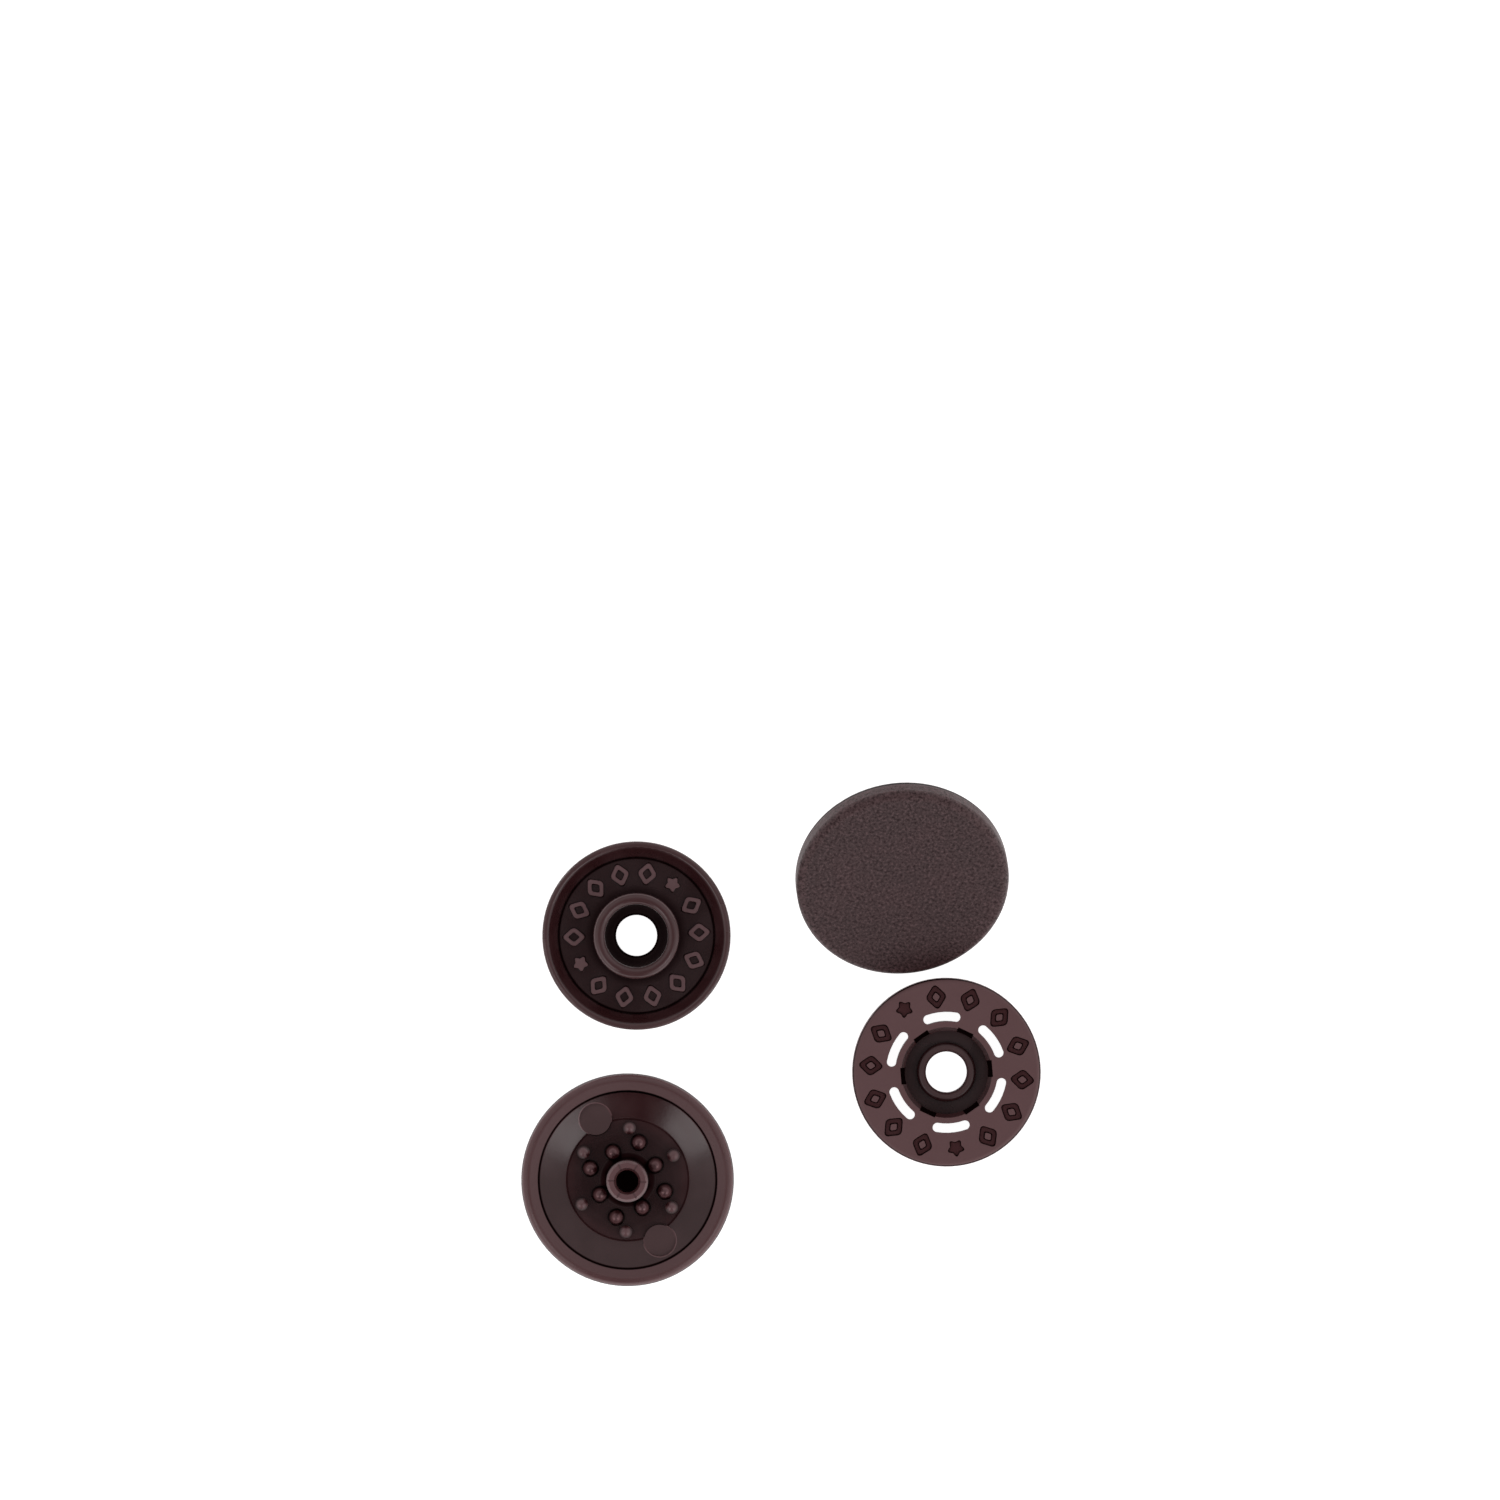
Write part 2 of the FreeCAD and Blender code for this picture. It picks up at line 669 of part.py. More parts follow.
def lay_out(s, pieces):
    """Set the pieces on the table, with the origin at the middle of their common outline."""
    pieces["stud"].Placement = lay_flat(s.stud_x.value, s.stud_y.value, 0)
    cap_turn = s.inner_cap_turn.value
    pieces["inner_cap"].Placement = lay_flat(s.inner_cap_x.value, s.inner_cap_y.value, cap_turn)
    pieces["outer_cap"].Placement = lay_face_up(s, s.outer_cap_x.value, s.outer_cap_y.value)
    pieces["socket"].Placement = lay_flat(*past_lowered_edge(s), s.socket_turn.value)
    box = FreeCAD.BoundBox()
    for body in pieces.values():
        box.add(body.Shape.optimalBoundingBox(False, False))
    for body in pieces.values():
        body.Placement.Base = body.Placement.Base - Vector(box.Center.x, box.Center.y, 0)


def check(doc, pieces):
    """Stop if an object of the document failed or a piece isn't one valid solid."""
    for item in doc.Objects:
        if "Invalid" in item.State or "Error" in item.State:
            raise RuntimeError(f"{item.Name} failed: {item.State}")
    for name, body in pieces.items():
        shape = body.Shape
        if shape.isNull() or not shape.isValid() or len(shape.Solids) != 1:
            raise RuntimeError(f"{name} is not one valid solid")


def main():
    doc = FreeCAD.newDocument("snap_fastener")
    s = add_sheet(doc)
    pieces = {
        "outer_cap": add_cap(doc, s, "outer_cap"),
        "inner_cap": add_cap(doc, s, "inner_cap"),
        "socket": add_socket(doc, s),
        "stud": add_stud(doc, s),
    }
    lay_out(s, pieces)
    doc.recompute()
    check(doc, pieces)
    os.makedirs("parts", exist_ok=True)
    for name, body in pieces.items():
        body.Shape.exportStep(os.path.join("parts", f"{name}.step"))
        box = body.Shape.optimalBoundingBox(False, False)
        print(f"{name}: volume {body.Shape.Volume:.2f} mm3, {len(body.Shape.Faces)} faces, box {box}")


main()
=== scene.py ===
"""Dresses the four loose pieces of a plastic snap fastener and sets them on a pale table.

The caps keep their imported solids.  The socket and the stud get merged copies of theirs, with a ring
of small ornaments sunk into the face of the socket and raised on the floor of the stud.  All of the
pieces are one dark brown moulded plastic: grained where the mould was etched, glossy where it was
polished.  Lengths are in metres.
"""

import math
from collections import defaultdict

import bmesh
import bpy
from mathutils import Matrix, Vector


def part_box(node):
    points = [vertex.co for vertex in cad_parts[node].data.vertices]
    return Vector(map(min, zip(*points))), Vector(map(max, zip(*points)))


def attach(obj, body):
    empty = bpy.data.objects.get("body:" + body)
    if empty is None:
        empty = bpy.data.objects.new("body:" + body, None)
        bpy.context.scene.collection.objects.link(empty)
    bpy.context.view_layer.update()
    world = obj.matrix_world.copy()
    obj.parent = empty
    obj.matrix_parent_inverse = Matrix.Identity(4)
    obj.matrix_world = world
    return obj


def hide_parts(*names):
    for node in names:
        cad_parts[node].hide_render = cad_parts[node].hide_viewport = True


bl_info = {
    "name": "Snap Fastener Dresser",
    "version": (1, 0, 0),
    "blender": (4, 5, 0),
    "location": "3D View > Sidebar > Snap Fastener",
    "description": "Finishes and small moulded details for a loose plastic snap fastener",
    "category": "Object",
}

MM = 0.001
BODY = "root"

# Level of a cap's ejector marks over its face, and of the stud's floor over the table.
EJECTOR_LEVEL = 1.22 * MM
STUD_FLOOR = 1.45 * MM
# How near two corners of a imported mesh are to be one.
MERGE_DISTANCE = 1e-7

# Angles of the two stars of a ring, and how many lozenges follow the first and the second one.
SOCKET_RING = {"first_star": 123.7, "second_star": 277, "between": 7, "after": 5}
STUD_RING = {"first_star": 54.9, "second_star": 206.7, "between": 7, "after": 5}
# Corners of a star, tips and waist together.
STAR_CORNERS = 10
# Waist of a star and rounding of its tips, as shares of its radius; how many drafts narrower its top
# is; and rounding of a lozenge's corners, as a share of its line.
STAR_WAIST = 0.58
STAR_ROUNDING = 0.3
STAR_TAPER = 1.6
LOZENGE_ROUNDING = 0.7

# Azimuths and elevation of the soft boxes.
BOX_AZIMUTHS = {"left_box": 220, "right_box": 317}
BOX_ELEVATION = 57
# Heights of a direction, from zero at the horizon to one straight up, between which the room's light
# dims overhead, dims again at the zenith, and is lost in the gap between the soft boxes.
OVERHEAD_RISE = (0.78, 0.9)
ZENITH_RISE = (0.98, 0.992)
GAP_RISE = (0.4, 0.6)
# Cosines of the angle to that gap's middle at which it begins and is deepest, and the share of light
# that is lost there.
GAP_CLOSENESS = (0.87, 0.96)
GAP_LOSS = 0.95
# How the room's low light grows toward the right, and how it falls off toward the back.
SLANT = (0.25, -0.6)

# Half a side of the table, and how far it lies under the pieces.
TABLE_HALF = 1.5
TABLE_DROP = 0.02 * MM

# Specks of the grain get painted glints, and its pits painted shade.
# Where the grain's height and tone, from zero to one, begin and end to tell, and how much at each end.
SPECKS = (0.52, 0.66, 0.0, 0.55)
PITS = (0.32, 0.53, 0.9, 0.0)
TONE_DRIFT = (0.35, 0.75, 0.0, 0.12)
ROUGHNESS_DRIFT = (0.3, 0.7, -0.04, 0.04)
# Share of the grain's height that is left on smooth skin.
LEFT_GRAIN = 0.08
# How strongly a pale zone lightens, how strongly the painted shade over a floor darkens it, and how
# metallic pits and thin places are.
PALE_SHARE = 0.3
FLOOR_SHADE_SHARE = 0.55
PIT_METAL = 0.8
THIN_METAL = 0.5

# Zones of finish and of painted light: least and greatest radius, least and greatest level, how softly
# the zone ends, and how far aside of the piece's axis the zone's own two axes lie, all in millimetres.
# What no zone covers is fine matte skin.
FINISHES_AND_PAINTED_LIGHT = ("Deep", "Polished", "Satin", "Grained", "Rubbed_and_highlit", "Thin", "Pale", "Floor_shade", "Dark")
CAP_ZONES = {
    "Deep": [(0, 5.88, 0.8, 6.0, 0.02, 0), (0, 9, -1, 0.32, 0.2, 0), (6.4, 9, -1, 1.3, 0.15, 0)],
    "Polished": [(1.85, 5.88, 0.8, 6.0, 0.05, 0)],
    "Satin": [(0.7, 1.5, 4.9, 5.2, 0.02, 0), (1.5, 4.12, 1.0, 1.7, 0.03, 0), (6.45, 9, 1.45, 2, 0.08, 0)],
    "Grained": [(0, 9, -1, 0.32, 0.2, 0), (6.4, 9, -1, 1.2, 0.15, 0)],
    # Partly rubbed plastic and partly painted highlight: the post's tip, rings round the ejector marks,
    # the pins' tops and the rim's outer edge.
    "Rubbed_and_highlit": [(0.88, 1.5, 4.95, 5.2, 0.02, 0), (1.03, 1.13, 1.1, 1.7, 0.02, 4.5),
                (2.95, 3.9, 1.42, 1.6, 0.04, 0), (1.5, 3.05, 1.48, 1.6, 0.03, 0),
                (6.78, 7.2, 1.4, 2, 0.15, 0)],
    "Thin": [(1.5, 3.2, 1.08, 1.7, 0.02, 0), (0.6, 0.86, 4.9, 5.09, 0.01, 0), (7, 9, 0.3, 1.3, 0.1, 0)],
    "Pale": [(0, 1.02, 1.12, 1.32, 0.02, 4.5), (6.5, 7.2, -1, 0.35, 0.15, 0)],
    # Painted shade over the middle of the dish's floor.
    "Floor_shade": [(0, 3.55, 0.5, 1.0, 0.3, 0)],
    # Painted shade along the rim's step, round the post's root, down its hole, round the pins' feet and
    # along the rim's outer side.
    "Dark": [(5.76, 5.91, 0.7, 1.9, 0.03, 0), (1.15, 1.85, 0.8, 1.2, 0.15, 0),
             (0, 0.72, 1.0, 4.9, 0.02, 0), (1.4, 3.05, 0.97, 1.34, 0.15, 0),
             (3.0, 3.95, 0.97, 1.33, 0.08, 0), (6.9, 8, 1.25, 1.56, 0.03, 0)],
}
SOCKET_ZONES = {
    "Deep": [(1.3, 2.98, 0.2, 2.89, 0.02, 0)],
    "Polished": [(1.9, 2.98, 0.2, 2.89, 0.02, 0), (1.4, 2.0, 0.9, 1.66, 0.02, 0)],
    "Satin": [(1.3, 2.92, 1.0, 1.8, 0.02, 0)],
    "Pale": [(1.4, 1.75, 1.6, 1.8, 0.05, 0)],
    "Thin": [(4.1, 5.95, 2.5, 2.69, 0.01, 0)],
    # Painted shade along the sunk ornaments' sides, in the notches and round the hub, and along the outer
    # edge.
    "Dark": [(4.1, 5.95, 2.69, 2.875, 0.01, 0), (2.7, 3.4, 2.0, 2.2, 0.02, 0),
             (3.01, 3.4, 0.2, 2.87, 0.01, 0), (6.1, 7, 2.72, 2.83, 0.03, 0)],
}
STUD_ZONES = {
    "Deep": [(0, 2.06, 0.2, 3.75, 0.02, 0), (2.6, 5.2, 1.2, 1.6, 0.02, 0), (2.6, 2.84, 1.2, 3.5, 0.02, 0),
             (5.0, 5.84, 1.3, 2.33, 0.02, 0)],
    "Polished": [(0, 2.06, 0.2, 3.0, 0.1, 0), (2.6, 5.2, 1.2, 1.6, 0.02, 0),
                 (2.6, 2.84, 1.2, 3.5, 0.02, 0), (5.0, 5.84, 1.3, 2.33, 0.02, 0),
                 (2.15, 2.9, 3.4, 4.2, 0.03, 0)],
    "Satin": [(5.84, 6.4, 1.9, 2.5, 0.04, 0)],
    # Painted highlight on the tops of the raised ornaments.
    "Rubbed_and_highlit": [(3.2, 5.0, 1.62, 1.7, 0.01, 0)],
    # Painted shade over the floor.
    "Floor_shade": [(2.6, 5.2, 1.2, 1.6, 0.02, 0)],
    # Painted shade round the boss's foot, at the rim wall's foot, along the rim's outer side and low in
    # the chamber.
    "Dark": [(2.6, 3.2, 1.2, 1.5, 0.3, 0), (5.05, 5.35, 1.3, 1.62, 0.1, 0),
             (6.1, 7, 2.04, 2.17, 0.04, 0), (1.3, 2.1, 0.2, 1.5, 0.4, 0)],
}

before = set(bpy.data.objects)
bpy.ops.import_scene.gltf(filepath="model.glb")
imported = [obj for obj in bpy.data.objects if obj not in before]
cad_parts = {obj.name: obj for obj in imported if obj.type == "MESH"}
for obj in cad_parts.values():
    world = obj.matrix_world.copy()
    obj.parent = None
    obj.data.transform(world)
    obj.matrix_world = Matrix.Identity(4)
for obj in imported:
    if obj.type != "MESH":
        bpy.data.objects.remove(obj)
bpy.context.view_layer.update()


def box_centre(node):
    """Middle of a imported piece, seen from above, at table height."""
    low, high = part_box(node)
    return Vector(((low.x + high.x) / 2, (low.y + high.y) / 2, 0))


# Sizes and colours that a user would change


class SnapPlastic(bpy.types.PropertyGroup):
    """Colours, finishes and grain of the plastic, with the colours of its painted shade, highlights and
    glints
    """

    deep: bpy.props.FloatVectorProperty(
        name="Deep colour", description="Colour of polished and of grained skin", subtype="COLOR",
        size=3, min=0, max=1, default=(0.032, 0.0105, 0.0115))
    pale: bpy.props.FloatVectorProperty(
        name="Pale colour", description="Colour of fine matte skin", subtype="COLOR",
        size=3, min=0, max=1, default=(0.084, 0.0385, 0.0405))
    # Partly rubbed plastic and partly a painted highlight on tips and edges.
    rubbed_and_highlit: bpy.props.FloatVectorProperty(
        name="Frosted colour", description="Colour of rubbed tips and edges", subtype="COLOR",
        size=3, min=0, max=1, default=(0.122, 0.063, 0.067))
    thin: bpy.props.FloatVectorProperty(
        name="Thin colour", description="Redder colour where the plastic is thin", subtype="COLOR",
        size=3, min=0, max=1, default=(0.054, 0.011, 0.013))
    # Painted glints on the peaks of the grain.
    glinting: bpy.props.FloatVectorProperty(
        name="Glint colour", description="Colour of the worn peaks of the grain", subtype="COLOR",
        size=3, min=0, max=1, default=(0.12, 0.062, 0.068))
    # Painted shade in corners, creases, hollows of the grain and along edges.
    dark: bpy.props.FloatVectorProperty(
        name="Dark colour", description="Colour in deep corners and along edges", subtype="COLOR",
        size=3, min=0, max=1, default=(0.012, 0.004, 0.0045))
    matte: bpy.props.FloatProperty(
        name="Matte roughness", description="Roughness of matte and grained skin", subtype="FACTOR",
        min=0, max=1, default=0.5)
    satin: bpy.props.FloatProperty(
        name="Satin roughness", description="Roughness of the half polished parts",
        subtype="FACTOR", min=0, max=1, default=0.26)
    polished: bpy.props.FloatProperty(
        name="Polished roughness", description="Roughness of the polished parts", subtype="FACTOR",
        min=0, max=1, default=0.18)
    grain: bpy.props.FloatProperty(
        name="Grain size", description="Size of the etched grain", unit="LENGTH", subtype="DISTANCE",
        min=0, default=0.19 * MM)
    grain_height: bpy.props.FloatProperty(
        name="Grain height", description="Height of the etched grain", unit="LENGTH",
        subtype="DISTANCE", min=0, default=0.05 * MM)


class SnapMarks(bpy.types.PropertyGroup):
    """Sizes of the ornaments and of their circles"""

    height: bpy.props.FloatProperty(
        name="Height", description="Height of an ornament", unit="LENGTH", subtype="DISTANCE",
        min=0, default=1.8 * MM)
    width: bpy.props.FloatProperty(
        name="Width", description="Width of an ornament", unit="LENGTH", subtype="DISTANCE",
        min=0, default=1.5 * MM)
    line: bpy.props.FloatProperty(
        name="Line", description="Width of an ornament's line", unit="LENGTH", subtype="DISTANCE",
        min=0, default=0.38 * MM)
    draft: bpy.props.FloatProperty(
        name="Draft", description="Width of the sloping side of a line", unit="LENGTH",
        subtype="DISTANCE", min=0, default=0.08 * MM)
    star: bpy.props.FloatProperty(
        name="Star", description="Radius of a star", unit="LENGTH", subtype="DISTANCE",
        min=0, default=0.68 * MM)
    socket_circle: bpy.props.FloatProperty(
        name="Socket circle", description="Circle of the sunk ornaments", unit="LENGTH",
        subtype="DISTANCE", min=0, default=5.0 * MM)
    socket_depth: bpy.props.FloatProperty(
        name="Socket depth", description="Depth of the sunk ornaments", unit="LENGTH",
        subtype="DISTANCE", min=0, default=0.26 * MM)
    stud_circle: bpy.props.FloatProperty(
        name="Stud circle", description="Circle of the raised ornaments", unit="LENGTH",
        subtype="DISTANCE", min=0, default=4.12 * MM)
    stud_rise: bpy.props.FloatProperty(
        name="Stud rise", description="Height of the raised ornaments", unit="LENGTH",
        subtype="DISTANCE", min=0, default=0.2 * MM)


class SnapStage(bpy.types.PropertyGroup):
    """Table, light and camera"""

    floor: bpy.props.FloatVectorProperty(
        name="Floor", description="Colour of the table", subtype="COLOR",
        size=3, min=0, max=1, default=(0.6, 0.6, 0.6))
    floor_light: bpy.props.FloatProperty(
        name="Floor light", description="Light that the table gives by itself", min=0, default=0.95)
    tint: bpy.props.FloatVectorProperty(
        name="Tint", description="Colour of the room's light and of the soft boxes", subtype="COLOR",
        size=3, min=0, max=1, default=(1.0, 0.94, 0.945))
    sky: bpy.props.FloatProperty(
        name="Sky", description="Light of the room near the table", min=0, default=0.85)
    overhead: bpy.props.FloatProperty(
        name="Overhead", description="Light of the room high above the table", min=0, default=0.55)
    zenith: bpy.props.FloatProperty(
        name="Zenith", description="Share of that light left straight above, round the camera",
        subtype="FACTOR", min=0, max=1, default=0.3)
    box_light: bpy.props.FloatProperty(
        name="Soft boxes", description="Brightness of the soft boxes", min=0, default=1.75)
    box_side: bpy.props.FloatProperty(
        name="Soft box side", description="Side of a soft box", unit="LENGTH", subtype="DISTANCE",
        min=0, default=0.22)
    box_distance: bpy.props.FloatProperty(
        name="Soft box distance", description="Distance of the soft boxes", unit="LENGTH",
        subtype="DISTANCE", min=0, default=0.7)
    gap: bpy.props.FloatProperty(
        name="Gap", description="Direction of the dark gap between the soft boxes",
        unit="ROTATION", subtype="ANGLE", default=math.radians(263))
    lens: bpy.props.FloatProperty(
        name="Lens", description="Focal length of the camera", unit="CAMERA", min=1, default=400)
    camera_height: bpy.props.FloatProperty(
        name="Camera height", description="Height of the camera over the table", unit="LENGTH",
        subtype="DISTANCE", min=0, default=1.098)
    camera_place: bpy.props.FloatVectorProperty(
        name="Camera place", description="Point of the table below the camera", unit="LENGTH",
        subtype="XYZ", size=2, default=(-2.03 * MM, 18.7 * MM))


# Shader building


def new_group(name, inputs, outputs):
    """Shader node group with named sockets, each given with its kind."""
    group = bpy.data.node_groups.new(name, "ShaderNodeTree")
    for side, sockets in (("INPUT", inputs), ("OUTPUT", outputs)):
        for label, kind in sockets.items():
            group.interface.new_socket(label, in_out=side, socket_type=f"NodeSocket{kind}")
    return group, group.nodes.new("NodeGroupInput"), group.nodes.new("NodeGroupOutput")


def set_input(tree, socket, value):
    """Link a socket to another one, or set it to a plain value."""
    if isinstance(value, bpy.types.NodeSocket):
        tree.links.new(value, socket)
    else:
        socket.default_value = value


def maths(tree, operation, *values):
    """Math node; returns its result."""
    node = tree.nodes.new("ShaderNodeMath")
    node.operation = operation
    for socket, value in zip(node.inputs, values):
        set_input(tree, socket, value)
    return node.outputs[0]


def blended(tree, share, first, second):
    """Colour between two others."""
    node = tree.nodes.new("ShaderNodeMix")
    node.data_type = "RGBA"
    for name, value in (("Factor_Float", share), ("A_Color", first), ("B_Color", second)):
        socket = next(item for item in node.inputs if item.identifier == name)
        set_input(tree, socket, value)
    return next(item for item in node.outputs if item.identifier == "Result_Color")


def ramped(tree, value, low, high, start=0.0, end=1.0):
    """Smooth step of a value from one number to another."""
    node = tree.nodes.new("ShaderNodeMapRange")
    node.interpolation_type = "SMOOTHSTEP"
    set_input(tree, node.inputs["Value"], value)
    for name, number in (("From Min", low), ("From Max", high), ("To Min", start), ("To Max", end)):
        node.inputs[name].default_value = number
    return node.outputs["Result"]


def noise(tree, place, size, detail=2.0, roughness=0.5):
    """Noise with features of about the given size."""
    node = tree.nodes.new("ShaderNodeTexNoise")
    set_input(tree, node.inputs["Vector"], place)
    node.inputs["Scale"].default_value = 1 / size
    node.inputs["Detail"].default_value = detail
    node.inputs["Roughness"].default_value = roughness
    return node.outputs["Fac"]


def distance(tree, x, y, aside):
    """Distance from the axis, or from two axes that lie aside of it along X."""
    along = maths(tree, "SUBTRACT", maths(tree, "ABSOLUTE", x), aside)
    squares = maths(tree, "ADD", maths(tree, "MULTIPLY", along, along), maths(tree, "MULTIPLY", y, y))
    return maths(tree, "SQRT", squares)


def band(tree, value, low, high, blur):
    """One where a value lies between two numbers, zero elsewhere, with soft ends."""
    rise = ramped(tree, value, low - blur, low + blur)
    fall = ramped(tree, value, high - blur, high + blur, 1.0, 0.0)
    return maths(tree, "MULTIPLY", rise, fall)


def zone_mask(tree, place, zones):
    """One inside any of the zones, zero elsewhere."""
    x, y, level = place
    total = 0.0
    for zone in zones:
        near, far, low, high, blur, aside = (number * MM for number in zone)
        radius = distance(tree, x, y, aside)
        inside = maths(tree, "MULTIPLY", band(tree, radius, near, far, blur),
                       band(tree, level, low, high, blur))
        total = maths(tree, "MAXIMUM", total, inside)
    return total


def zones_group(name, zones):
    """Masks of a round piece's finishes and painted light, read from the distance to its axis and the
    level along it.
    """
    outputs = dict.fromkeys(FINISHES_AND_PAINTED_LIGHT, "Float")
    group, inlet, outlet = new_group(name, {"Place": "Vector"}, outputs)
    parts = group.nodes.new("ShaderNodeSeparateXYZ")
    group.links.new(inlet.outputs["Place"], parts.inputs[0])
    for label in FINISHES_AND_PAINTED_LIGHT:
        mask = zone_mask(group, parts.outputs, zones.get(label, ()))
        set_input(group, outlet.inputs[label], mask)
    return group


def grain_group():
    """Etched grain of a mould: fine height, and a slow drift of tone."""
    inputs = {"Place": "Vector", "Size": "Float"}
    group, inlet, outlet = new_group("moulded_grain", inputs, {"Height": "Float", "Tone": "Float"})
    scaled = group.nodes.new("ShaderNodeVectorMath")
    scaled.operation = "SCALE"
    group.links.new(inlet.outputs["Place"], scaled.inputs[0])
    set_input(group, scaled.inputs["Scale"], maths(group, "DIVIDE", 1.0, inlet.outputs["Size"]))
    place = scaled.outputs[0]
    fine = noise(group, place, size=1.0, detail=4.0, roughness=0.7)
    slow = noise(group, place, size=14.0)
    set_input(group, outlet.inputs["Height"], fine)
    set_input(group, outlet.inputs["Tone"], slow)
    return group


def add_group(tree, group, **values):
    """Group node in a material, with its inputs set."""
    node = tree.nodes.new("ShaderNodeGroup")
    node.node_tree = group
    for name, value in values.items():
        set_input(tree, node.inputs[name], value)
    return node


def without(tree, mask, *others):
    """Mask with others taken out of it."""
    for other in others:
        mask = maths(tree, "SUBTRACT", mask, other)
    return maths(tree, "MAXIMUM", mask, 0.0)


def plastic_colour(tree, masks, skin, corner, pit, bloom):
    """Colour of the plastic, from its zones of finish and of painted light, and its grain."""
    look = bpy.context.scene.snap_plastic
    tints = (look.deep, look.rubbed_and_highlit, look.thin, look.glinting, look.dark)
    deep, rubbed_and_highlit, thin, glinting, dark = ((*tint, 1) for tint in tints)
    pale = (*(channel * bloom for channel in look.pale), 1)
    lighter = maths(tree, "MULTIPLY", masks["Pale"], PALE_SHARE)
    # Painted glints on the grain's peaks.
    speck = maths(tree, "MULTIPLY", ramped(tree, skin["Height"], *SPECKS), masks["Grained"])
    drift = ramped(tree, skin["Tone"], *TONE_DRIFT)
    # Painted shade in corners and along edges, and over the floors.
    shade = maths(tree, "MAXIMUM", corner, maths(tree, "MULTIPLY", masks["Floor_shade"], FLOOR_SHADE_SHARE))
    colour = blended(tree, masks["Deep"], pale, deep)
    for share, tint in ((masks["Thin"], thin), (lighter, pale), (masks["Rubbed_and_highlit"], rubbed_and_highlit),
                        (speck, glinting), (pit, dark), (drift, rubbed_and_highlit), (shade, dark)):
        colour = blended(tree, share, colour, tint)
    return colour


def plastic_metal(tree, masks, corner, pit):
    """How metallic the plastic is taken to be.

    Corners and pits that see only dark walls mirror next to nothing: as dark metal they don't shine.
    """
    pits = maths(tree, "MULTIPLY", pit, PIT_METAL)
    thin = maths(tree, "MULTIPLY", masks["Thin"], THIN_METAL)
    return maths(tree, "MAXIMUM", corner, maths(tree, "MAXIMUM", pits, thin))


def plastic_roughness(tree, masks, skin):
    """Roughness of the plastic, from its zones of finish."""
    look = bpy.context.scene.snap_plastic
    polished = without(tree, masks["Polished"], masks["Satin"], masks["Pale"])
    satin = without(tree, masks["Satin"], masks["Pale"])
    polish = maths(tree, "MULTIPLY", polished, look.matte - look.polished)
    polish = maths(tree, "ADD", polish, maths(tree, "MULTIPLY", satin, look.matte - look.satin))
    roughness = maths(tree, "SUBTRACT", look.matte, polish)
    return maths(tree, "ADD", roughness, ramped(tree, skin["Tone"], *ROUGHNESS_DRIFT))


def plastic_normal(tree, masks, skin):
    """Direction of the skin, roughened by its grain."""
    share = maths(tree, "MULTIPLY", masks["Grained"], 1 - LEFT_GRAIN)
    share = maths(tree, "ADD", share, LEFT_GRAIN)
    bump = tree.nodes.new("ShaderNodeBump")
    bump.inputs["Strength"].default_value = 1.0
    bump.inputs["Distance"].default_value = bpy.context.scene.snap_plastic.grain_height
    set_input(tree, bump.inputs["Height"], maths(tree, "MULTIPLY", skin["Height"], share))
    return bump.outputs["Normal"]


def plastic_material(name, centre, turn, zones, bloom=1.0):
    """Brown plastic of one piece, with the piece's own zones of finish and of painted light about its
    axis.

    Bloom makes the matte skin paler or darker than that of the others.
    """
    material = bpy.data.materials.new(name)
    material.use_nodes = True
    tree = material.node_tree
    coordinates = tree.nodes.new("ShaderNodeTexCoord")
    mapping = tree.nodes.new("ShaderNodeMapping")
    mapping.vector_type = "TEXTURE"
    mapping.inputs["Location"].default_value = centre
    mapping.inputs["Rotation"].default_value = turn
    tree.links.new(coordinates.outputs["Object"], mapping.inputs["Vector"])
    place = mapping.outputs["Vector"]
    masks = add_group(tree, zones, Place=place).outputs
    grain = shared_group("moulded_grain", grain_group)
    skin = add_group(tree, grain, Place=place, Size=bpy.context.scene.snap_plastic.grain).outputs

    # Painted shade in corners and along edges, kept off the pale zones.
    corner = without(tree, masks["Dark"], masks["Pale"])
    # Painted shade in the hollows of the grain.
    pit = maths(tree, "MULTIPLY", ramped(tree, skin["Height"], *PITS), masks["Grained"])
    shader = tree.nodes["Principled BSDF"].inputs
    set_input(tree, shader["Base Color"], plastic_colour(tree, masks, skin, corner, pit, bloom))
    set_input(tree, shader["Metallic"], plastic_metal(tree, masks, corner, pit))
    set_input(tree, shader["Roughness"], plastic_roughness(tree, masks, skin))
    set_input(tree, shader["Normal"], plastic_normal(tree, masks, skin))
    shader["IOR"].default_value = 1.5
    return material


def shared_group(name, build):
    """Node group that is built once and then used again."""
    return bpy.data.node_groups.get(name) or build()


def dress(piece, material):
    """Give a piece one material in place of its own."""
    piece.data.materials.clear()
    piece.data.materials.append(material)


# Mesh building


def merged_copy(node, name):
    """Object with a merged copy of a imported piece, which it then stands for."""
    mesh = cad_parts[node].data.copy()
    mesh.name = name
    normals = mesh.attributes.get("custom_normal")
    if normals:
        mesh.attributes.remove(normals)
    shell = bmesh.new()
    shell.from_mesh(mesh)
    bmesh.ops.remove_doubles(shell, verts=shell.verts, dist=MERGE_DISTANCE)
    shell.to_mesh(mesh)
    shell.free()
    piece = bpy.data.objects.new(name, mesh)
    bpy.context.scene.collection.objects.link(piece)
    return piece


def smooth_shading(mesh, limit=math.radians(28)):
    """Smooth faces with sharp edges where the surface turns by more than the limit."""
    shell = bmesh.new()
    shell.from_mesh(mesh)
    for face in shell.faces:
        face.smooth = True
    for edge in shell.edges:
        edge.smooth = edge.calc_face_angle(math.pi) < limit
    shell.to_mesh(mesh)
    shell.free()


